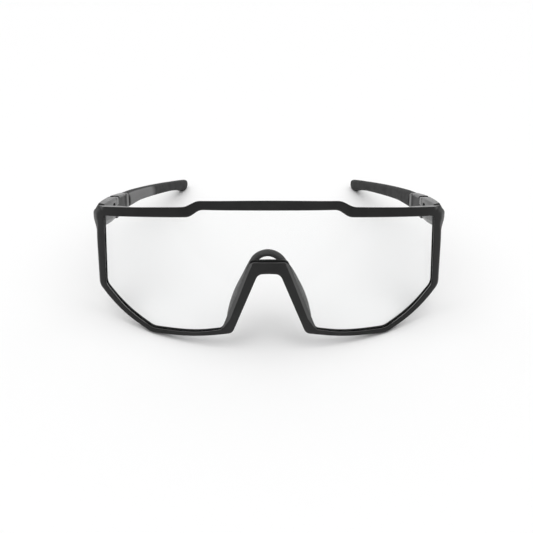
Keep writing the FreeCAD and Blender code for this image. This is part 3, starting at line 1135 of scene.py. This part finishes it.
# Name, dark and light colour, range of roughness, size of the grain and its strength
front_plastic = textured("front_nylon", *BLACK, SATIN, 0.22, 0.25)
arm_plastic = textured("arm_nylon", *BLACK, SATIN, 0.22, 0.25, specular=0.15)
arm_facet = textured("arm_facet_nylon", *BLACK, SMOOTH, 0.22, 0.25, specular=0.7)
# painted highlight on the leg bevels
leg_painted_highlight = textured("leg_facet_nylon", *LEG_HIGHLIGHT_PAINT, (0.4, 0.5), 0.22, 0.3)
# painted highlight on the tops and insides near the front's ends
end_painted_highlight = textured("inner_facet_nylon", *END_HIGHLIGHT_PAINT, SMOOTH, 0.22, 0.25, specular=0.8)
recess_plastic = textured("recess_nylon", *DARK, (0.55, 0.65), 0.3, 0.6, specular=0.6)
sleeve_rubber = textured("sleeve_rubber", *RUBBER, (0.68, 0.8), 0.3, 0.5, specular=0.3)
nose_rubber = textured("nose_rubber", *NOSE_RUBBER, (0.55, 0.68), 0.3, 0.4, specular=0.35)
clip_plastic = textured("clip_nylon", *DARK, (0.45, 0.55), 0.25, 0.3)
steel = textured("screw_steel", *STEEL, (0.22, 0.34), 0.15, 0.1, metallic=1.0)
brass = textured("hinge_brass", *BRASS, (0.25, 0.38), 0.15, 0.1, metallic=1.0)
wire = textured("core_wire", *WIRE, (0.3, 0.4), 0.15, 0.1, metallic=1.0)
lens_clear = lens_material()
add_panel(sleeve_rubber)
fade_gloss(front_plastic, *FRONT_GLOSS)
# painted highlight on the sides of the nose wings
paint_highlight_below(nose_rubber, WING_HIGHLIGHT_GREY, *WING_HIGHLIGHT_FADE)

# ---------------------------------------------------------------- which faces differ


def within(value, limits):
    """Whether a value is between two limits."""
    return limits[0] < value < limits[1]


def outwards(spot, normal):
    """How much a mesh face looks sideways, away from the nose."""
    return normal.x * math.copysign(1.0, spot.x)


def on_leg_bevel(spot, normal):
    """Whether a face of the front is on the bevel beside the nose, which gets a painted highlight.
    """
    beside = abs(spot.x) < LEG_REACH and within(spot.z, LEG_HEIGHTS)
    return beside and outwards(spot, normal) > LEG_OUTWARDS and normal.y < LEG_FORWARDS


def on_end_piece_inside(spot, normal):
    """Whether a face of the front is on top near its ends, or inside or behind an end piece, where
    a painted highlight goes.
    """
    if normal.z > TOP_FACING:
        return abs(spot.x) > TOP_REACH and normal.y > TOP_FORWARDS
    inside = -outwards(spot, normal) > INSIDE_FACING
    behind = spot.z > END_PIECE_FOOT and normal.y > REAR_FACING
    return abs(spot.x) > END_REACH and spot.y > END_PIECE_FRONT and (inside or behind)


def on_arm_inside(spot, normal):
    """Whether a face of an arm is on its inner or upper side."""
    return -outwards(spot, normal) > INSIDE_FACING or normal.z > UPPER_FACING


def in_recess(spot, normal):
    """Whether a face of an arm is in the recess of its inner face."""
    depth = abs(spot.x) - inner_face(spot.y)
    along = within(spot.y, (POCKET_OUTLINE[0][0], POCKET_OUTLINE[2][0]))
    in_outline = along and within(spot.z, RECESS_HEIGHTS)
    return in_outline and within(depth, RECESS_DEPTHS) and -outwards(spot, normal) > RECESS_FACING


# ---------------------------------------------------------------- building


def keep(node, material, edge):
    """Give one of the CAD's own pieces a material, and bevels if they have a width."""
    node.data.materials.clear()
    node.data.materials.append(material)
    if edge:
        flats = node.modifiers.new("flats", "DECIMATE")
        flats.decimate_type = "DISSOLVE"
        flats.angle_limit = math.radians(KEPT_FLAT_ANGLE)
        add_bevel(node, edge, KEPT_BEVEL_SEGMENTS, KEPT_BEVEL_ANGLE)


front = soft_shaded(front_frame())
finished(front, front_plastic, "frame_plastic", "front", "front_frame")
# Painted highlights: paler colour on the leg bevels and on the tops and insides near the ends,
# where those faces catch the light
painted(front, leg_painted_highlight, on_leg_bevel)
painted(front, end_painted_highlight, on_end_piece_inside)
lens = soft_shaded(shield_lens("lens_sheet"), ROUND_SHARP_ANGLE)
finished(lens, lens_clear, "lens", "front", "shield_lens")
pad = soft_shaded(nose_pad("nose_rubber_piece"), NOSE_SHARP_ANGLE)
finished(pad, nose_rubber, "nose_rubber", "front", "nose_pad")
for side, mirrored in (("right", False), ("left", True)):
    body = side + "_temple"
    arm = soft_shaded(temple_arm(side + "_arm_shell", mirrored))
    finished(arm, arm_plastic, "arm_plastic", body, side + "_temple_arm")
    painted(arm, arm_facet, on_arm_inside)
    painted(arm, recess_plastic, in_recess)
    sleeve = soft_shaded(temple_sleeve(side + "_sleeve_grip", mirrored), ROUND_SHARP_ANGLE)
    finished(sleeve, sleeve_rubber, "sleeve_rubber", body, side + "_temple_sleeve")

# The CAD's own pieces that stay: the ending of their names, material and width of bevel
kept = {
    "nose_clip": (clip_plastic, 0.12),
    "hinge_screw": (steel, 0.06),
    "hinge_insert": (brass, 0.05),
    "hinge_bush": (brass, 0.05),
    "washer_lower": (clip_plastic, 0.04),
    "washer_upper": (clip_plastic, 0.04),
    "nose_core": (wire, 0.0),
}
for name, node in frame["nodes"].items():
    for ending, (material, edge) in kept.items():
        if name.endswith(ending):
            keep(node, material, edge)

# ---------------------------------------------------------------- floor, light and camera

floor_mesh = bpy.data.meshes.new("floor")
corners = [(-1, -1), (1, -1), (1, 1), (-1, 1)]
floor_points = [(x * FLOOR_REACH, y * FLOOR_REACH, 0.0) for x, y in corners]
floor_mesh.from_pydata(floor_points, [], [(0, 1, 2, 3)])
floor = bpy.data.objects.new("floor", floor_mesh)
floor.location.z = -FLOOR_DROP
bpy.context.scene.collection.objects.link(floor)
floor_paint = bpy.data.materials.new("floor_white")
floor_shader = nodes_of(floor_paint)[2]
floor_shader.inputs["Base Color"].default_value = (FLOOR_GREY, FLOOR_GREY, FLOOR_GREY, 1.0)
floor_shader.inputs["Roughness"].default_value = FLOOR_ROUGHNESS
floor_mesh.materials.append(floor_paint)

sun_data = bpy.data.lights.new("overhead", "SUN")
sun_data.energy = SUN_STRENGTH
sun_data.angle = math.radians(SUN_SPREAD)
sun = bpy.data.objects.new("overhead", sun_data)
sun.rotation_euler = (math.radians(SUN_LEAN), 0.0, 0.0)
bpy.context.scene.collection.objects.link(sun)

world = bpy.data.worlds.new("studio")
bpy.context.scene.world = world
world.use_nodes = True
world_nodes = world.node_tree.nodes
world_links = world.node_tree.links
sky = world_nodes["Background"]
direction = split(world_nodes, world_links, coordinates(world_nodes, "Generated"))
brightness = remap(world_nodes, world_links, direction["Y"], *WORLD_STRENGTH, *WORLD_FADE)
world_links.new(brightness, sky.inputs["Strength"])
sky.inputs["Color"].default_value = (1.0, 1.0, 1.0, 1.0)

camera_data = bpy.data.cameras.new("camera")
camera_data.sensor_width = CAMERA_SENSOR
camera_data.lens = CAMERA_LENS
camera_data.shift_x = CAMERA_SHIFT
camera_data.clip_start, camera_data.clip_end = CAMERA_CLIP
camera = bpy.data.objects.new("camera", camera_data)
camera.location = CAMERA_PLACE
camera.rotation_euler = (math.radians(90.0 - CAMERA_TILT), 0.0, 0.0)
bpy.context.scene.collection.objects.link(camera)
bpy.context.scene.camera = camera
bpy.context.scene.view_settings.view_transform = "Standard"
